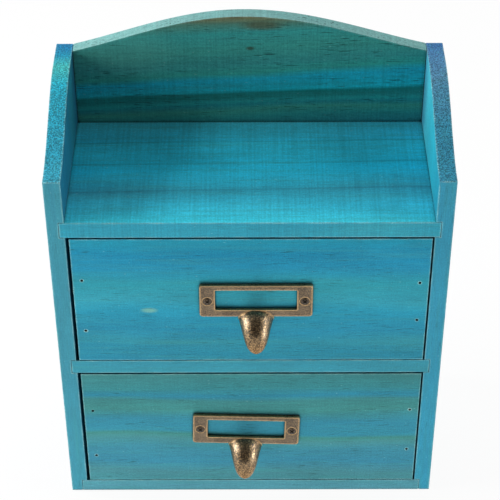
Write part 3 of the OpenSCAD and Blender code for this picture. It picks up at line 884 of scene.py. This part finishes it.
def product_camera(name, stage):
    """A camera as solved from the photo."""
    lens = bpy.data.cameras.new(name)
    lens.lens, lens.sensor_width = stage.lens, SENSOR_WIDTH
    camera = bpy.data.objects.new(name, lens)
    camera.matrix_world = (
        Matrix.Translation(stage.camera_place)
        @ Matrix.Rotation(stage.camera_yaw, 4, "Z")
        @ Matrix.Rotation(math.pi / 2 - stage.camera_pitch, 4, "X")
        @ Matrix.Rotation(-stage.camera_roll, 4, "Z")
    )
    bpy.context.scene.collection.objects.link(camera)
    return camera


# Settings that a user would change

COLOUR = {"subtype": "COLOR", "size": 3}


class CabinetWoodSettings(bpy.types.PropertyGroup):
    """Sizes and colours of the stained boards"""

    ease: FloatProperty(
        name="Eased arris", description="Radius of the sanded edges of the boards",
        default=0.5 * MM, unit="LENGTH",
    )
    ease_segments: IntProperty(
        name="Arris segments", description="Facets round a sanded edge", default=2,
    )
    shortest_arris: FloatProperty(
        name="Shortest arris", description="Edges shorter than this, such as nail holes, stay sharp",
        default=3 * MM, unit="LENGTH",
    )
    ring_width: FloatProperty(
        name="Growth ring", description="Width of a year's growth", default=4.5 * MM, unit="LENGTH",
    )
    wear_width: FloatProperty(
        name="Rubbed width", description="Width of the pale rubbed line along an arris",
        default=1.6 * MM, unit="LENGTH",
    )
    rubbed: FloatVectorProperty(
        name="Rubbed arris", description="Colour of the wood where the stain is rubbed through",
        default=linear("#A5D6D2"), **COLOUR,
    )
    hard_grain: FloatVectorProperty(
        name="Hard grain", description="Greener colour of the hard grain that takes less stain",
        default=linear("#3E9290"), **COLOUR,
    )
    late_wood: FloatVectorProperty(
        name="Late wood", description="Dark line that ends a year's growth",
        default=linear("#0F4650"), **COLOUR,
    )
    pore: FloatVectorProperty(
        name="Resin pore", description="Colour of the short dark dashes in the grain",
        default=linear("#14453E"), **COLOUR,
    )


class CabinetPullSettings(bpy.types.PropertyGroup):
    """Sizes and colours of the label-frame pulls"""

    frame_width: FloatProperty(
        name="Frame width", description="Width of the label frame", unit="LENGTH",
        default=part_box("upper_pull")[1].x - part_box("upper_pull")[0].x,
    )
    frame_height: FloatProperty(
        name="Frame height", description="Height of the label frame", default=25.75 * MM, unit="LENGTH",
    )
    frame_t: FloatProperty(
        name="Frame thickness", description="Thickness of the label frame", default=2.4 * MM, unit="LENGTH",
    )
    corner: FloatProperty(
        name="Corner", description="Corner radius of the label frame", default=2 * MM, unit="LENGTH",
    )
    edge: FloatProperty(
        name="Rounded edge", description="Radius round the front edges of the frame",
        default=0.6 * MM, unit="LENGTH",
    )
    window_width: FloatProperty(
        name="Window width", description="Width of the label window", default=52 * MM, unit="LENGTH",
    )
    window_height: FloatProperty(
        name="Window height", description="Height of the label window", default=16 * MM, unit="LENGTH",
    )
    top_rail: FloatProperty(
        name="Top rail", description="Width of the rail above the window", default=4 * MM, unit="LENGTH",
    )
    recess: FloatProperty(
        name="Card recess", description="Depth of the space for a label card",
        default=0.9 * MM, unit="LENGTH",
    )
    lip: FloatProperty(
        name="Card lip", description="Width of the lip that holds a label card",
        default=1.6 * MM, unit="LENGTH",
    )
    screw_spacing: FloatProperty(
        name="Screw spacing", description="Distance between the two screws", default=62 * MM, unit="LENGTH",
    )
    screw_head: FloatProperty(
        name="Screw head", description="Diameter of the screws' heads", default=5.6 * MM, unit="LENGTH",
    )
    hood_reach: FloatProperty(
        name="Hood reach", description="Distance from the drawer front to the hood's tip",
        default=18.5 * MM, unit="LENGTH",
    )
    hood_drop: FloatProperty(
        name="Hood drop", description="Distance from the frame down to the hood's tip",
        default=17.5 * MM, unit="LENGTH",
    )
    hood_width: FloatProperty(
        name="Hood width", description="Width of the hood at the frame", default=22.5 * MM, unit="LENGTH",
    )
    hood_arch: FloatProperty(
        name="Hood arch", description="Height of the hood's arch at the frame",
        default=7 * MM, unit="LENGTH",
    )
    hood_bulge: FloatProperty(
        name="Hood bulge", description="Share by which the arch deepens half way to the tip", default=0.4,
    )
    hood_fullness: FloatProperty(
        name="Hood fullness", description="How squarely the hood keeps its width", default=3.75,
    )
    hood_wall: FloatProperty(
        name="Hood wall", description="Thickness of the hood", default=1.6 * MM, unit="LENGTH",
    )
    fillet: FloatProperty(
        name="Fillet", description="Radius where the hood runs into the frame",
        default=0.6 * MM, unit="LENGTH",
    )
    lower_tilt: FloatProperty(
        name="Lower tilt", description="Clockwise tilt of the lower pull", default=math.radians(1.8),
        subtype="ANGLE",
    )
    patina: FloatVectorProperty(
        name="Patina", description="Brown patina", default=linear("#7A6953"), **COLOUR,
    )
    patina_dark: FloatVectorProperty(
        name="Dark patina", description="Patina in the hollows",
        default=linear("#554839"), **COLOUR,
    )
    brass: FloatVectorProperty(
        name="Bare brass", description="Brass where it is worn bright",
        default=linear("#FCD092"), **COLOUR,
    )
    # Also stands for a painted reflection of the bright floor on the hood's tip
    gripped_and_reflected: FloatVectorProperty(
        name="Gripped brass", description="Golden brown towards the hood's tip",
        default=linear("#94692F"), **COLOUR,
    )


class CabinetStageSettings(bpy.types.PropertyGroup):
    """Camera and room light"""

    lens: FloatProperty(name="Lens", description="Focal length in millimetres", default=119.87)
    camera_place: FloatVectorProperty(
        name="Camera", description="Place of the camera", subtype="TRANSLATION", unit="LENGTH",
        size=3, default=(0.00052, -0.86422, 0.86287),
    )
    camera_pitch: FloatProperty(
        name="Pitch", description="Angle that the camera looks down", subtype="ANGLE",
        default=math.radians(38.804),
    )
    camera_yaw: FloatProperty(
        name="Yaw", description="Angle that the camera looks to the left", subtype="ANGLE",
        default=math.radians(0.037),
    )
    camera_roll: FloatProperty(
        name="Roll", description="Clockwise roll of the camera", subtype="ANGLE",
        default=math.radians(0.164),
    )
    sky: FloatProperty(name="Room light", description="Strength of the light from all round", default=0.1)


# Operators

class CABINET_OT_case(bpy.types.Operator):
    """Dresses the sides, shelf, divider, base and back boards"""

    bl_idname = "cabinet.case"
    bl_label = "Case boards"

    def execute(self, context):
        wood = context.scene.cabinet_wood
        slots = {
            "left_side": "side_wood", "right_side": "side_wood", "shelf": "shelf_wood",
            "divider": "shelf_wood", "base_board": "shelf_wood", "back_board_top": "back_wood",
            "back_board_middle": "back_wood", "back_board_bottom": "back_wood",
        }
        for node, slot in slots.items():
            material = stained_pine(f"pine_stained_{node}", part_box(node), FINISHES[node], wood)
            eased_board(node, "case", material, wood)
        return {"FINISHED"}


class CABINET_OT_drawers(bpy.types.Operator):
    """Dresses the front, walls, back and bottom of both drawers"""

    bl_idname = "cabinet.drawers"
    bl_label = "Drawers"

    def execute(self, context):
        wood = context.scene.cabinet_wood
        for drawer in ("upper", "lower"):
            parts = {
                "front": (f"{drawer}_front", "front_wood"),
                "left_wall": ("drawer_box", "drawer_wood"),
                "right_wall": ("drawer_box", "drawer_wood"),
                "back_wall": ("drawer_back", "drawer_wood"),
                "bottom_panel": ("drawer_bottom", "panel_wood"),
            }
            for part, (finish, slot) in parts.items():
                node = f"{drawer}_{part}"
                material = stained_pine(f"pine_stained_{node}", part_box(node), FINISHES[finish], wood)
                eased_board(node, f"{drawer}_drawer", material, wood)
        return {"FINISHED"}


class CABINET_OT_pulls(bpy.types.Operator):
    """Makes both label-frame pulls and finishes their screws"""

    bl_idname = "cabinet.pulls"
    bl_label = "Pulls"

    def execute(self, context):
        pull = context.scene.cabinet_pull
        brass = antique_brass("brass_cast_antique", pull, (pull.patina_dark[:], pull.patina[:]), 0.55, 0.9)
        screw = antique_brass("brass_plated_screws", pull, ("#2E2620", pull.patina_dark[:]), 0.1, 0.0)
        for drawer, tilt in (("upper", 0.0), ("lower", pull.lower_tilt)):
            low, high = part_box(f"{drawer}_pull_screws")
            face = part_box(f"{drawer}_front")[0].y
            centre = Vector(((low.x + high.x) / 2, face, (low.z + high.z) / 2))
            place = (
                Matrix.Translation(centre) @ Matrix.Rotation(math.radians(90), 4, "X")
                @ Matrix.Rotation(-tilt, 4, "Z")
            )
            name = f"{drawer}_label_pull"
            finish_object(
                name, pull_mesh(name, pull), brass, f"{drawer}_drawer",
                [f"{drawer}_pull"], place,
            )
            dress(f"{drawer}_pull_screws", screw)
        return {"FINISHED"}


class CABINET_OT_nails(bpy.types.Operator):
    """Finishes the nails"""

    bl_idname = "cabinet.nails"
    bl_label = "Nails"

    def execute(self, context):
        # The nearly black colour is blued steel and also painted shade of the holes the heads are set in
        steel = dark_steel("steel_wire_blued_and_shaded", "#20211F", 0.5)
        for node in ("side_nails", "back_nails", "upper_nails", "lower_nails"):
            dress(node, steel)
        return {"FINISHED"}


class CABINET_OT_stage(bpy.types.Operator):
    """Sets the floor, the lights and the camera"""

    bl_idname = "cabinet.stage"
    bl_label = "Stage"

    def execute(self, context):
        stage = context.scene.cabinet_stage
        floor = flat_sheet("studio_floor", FLOOR_HALF, FLOOR_HALF)
        floor.data.materials.append(table_paper("paper_white_matt"))
        context.scene.world = white_room("studio_room", stage.sky)
        card = flat_sheet("black_card", *CARD_HALF)
        card.data.materials.append(black_felt("felt_black_matt"))
        aim(card, CARD_PLACE, MIDDLE)
        card.visible_camera = card.visible_diffuse = card.visible_shadow = False
        for lamp in LAMPS:
            hang_lamp(*lamp)
        context.scene.camera = product_camera("product_camera", stage)
        context.scene.view_settings.view_transform = "Standard"
        return {"FINISHED"}


class CABINET_PT_sidebar(bpy.types.Panel):
    """Lists the steps that dress the cabinet"""

    bl_label = "Cabinet"
    bl_space_type = "VIEW_3D"
    bl_region_type = "UI"
    bl_category = "Cabinet"

    def draw(self, context):
        layout = self.layout
        for group in ("cabinet_wood", "cabinet_pull", "cabinet_stage"):
            box = layout.box()
            settings = getattr(context.scene, group)
            for name in settings.__annotations__:
                box.prop(settings, name)
        for operator in OPERATORS:
            layout.operator(operator.bl_idname)


SETTINGS = {
    "cabinet_wood": CabinetWoodSettings,
    "cabinet_pull": CabinetPullSettings,
    "cabinet_stage": CabinetStageSettings,
}
OPERATORS = (CABINET_OT_stage, CABINET_OT_case, CABINET_OT_drawers, CABINET_OT_pulls, CABINET_OT_nails)


def register():
    for kind in (*SETTINGS.values(), *OPERATORS, CABINET_PT_sidebar):
        bpy.utils.register_class(kind)
    for name, kind in SETTINGS.items():
        setattr(bpy.types.Scene, name, PointerProperty(type=kind))


def unregister():
    for name in SETTINGS:
        delattr(bpy.types.Scene, name)
    for kind in (CABINET_PT_sidebar, *reversed(OPERATORS), *SETTINGS.values()):
        bpy.utils.unregister_class(kind)


def main():
    register()
    bpy.ops.cabinet.stage()
    bpy.ops.cabinet.case()
    bpy.ops.cabinet.drawers()
    bpy.ops.cabinet.pulls()
    bpy.ops.cabinet.nails()


if __name__ == "__main__":
    main()
